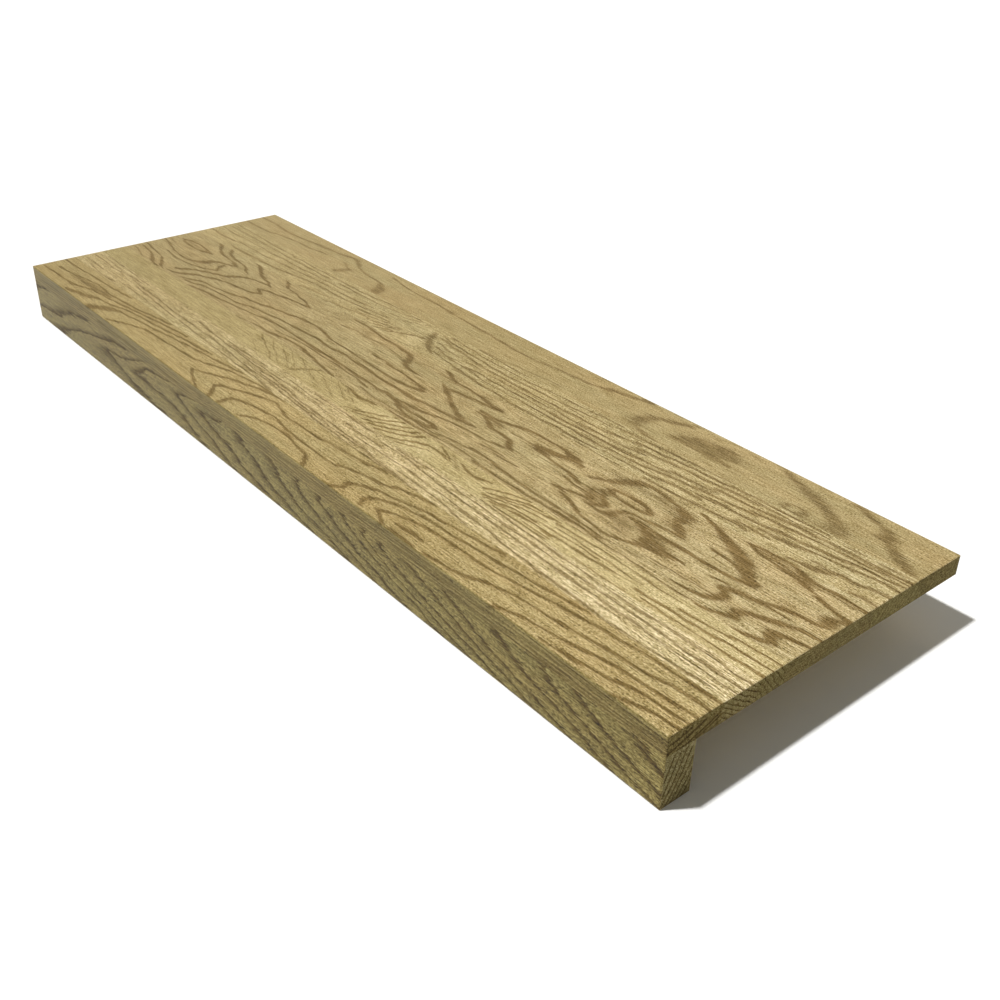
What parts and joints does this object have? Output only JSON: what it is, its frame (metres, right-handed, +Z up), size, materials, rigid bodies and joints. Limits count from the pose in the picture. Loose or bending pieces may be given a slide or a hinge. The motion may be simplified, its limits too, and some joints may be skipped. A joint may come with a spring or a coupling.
{
  "type": "stair tread",
  "caption": "Oak retrofit stair tread: an edge-glued panel with a square nosing strip under its front edge that hooks over an existing step.",
  "frame": {"origin": "under the middle of the tread's length and depth, level with the foot of the nosing", "axes": "+X along the tread, +Y from the front face to the back edge, +Z up through the level top face"},
  "size_m": [0.9144, 0.2922, 0.0571],
  "materials": {
    "flat_sawn_oak": "planed and sanded oak, clear satin oil, broad cathedral grain",
    "rift_sawn_oak": "planed and sanded oak, clear satin oil, close straight grain",
    "quarter_sawn_oak": "planed and sanded oak, clear satin oil, pale with cross-grain figure"
  },
  "bodies": {
    "root": {"front_stave": "flat_sawn_oak", "stave_2": "rift_sawn_oak", "stave_3": "quarter_sawn_oak", "stave_4": "flat_sawn_oak", "stave_5": "rift_sawn_oak", "back_stave": "flat_sawn_oak", "nosing_strip": "flat_sawn_oak"}
  },
  "joints": []
}
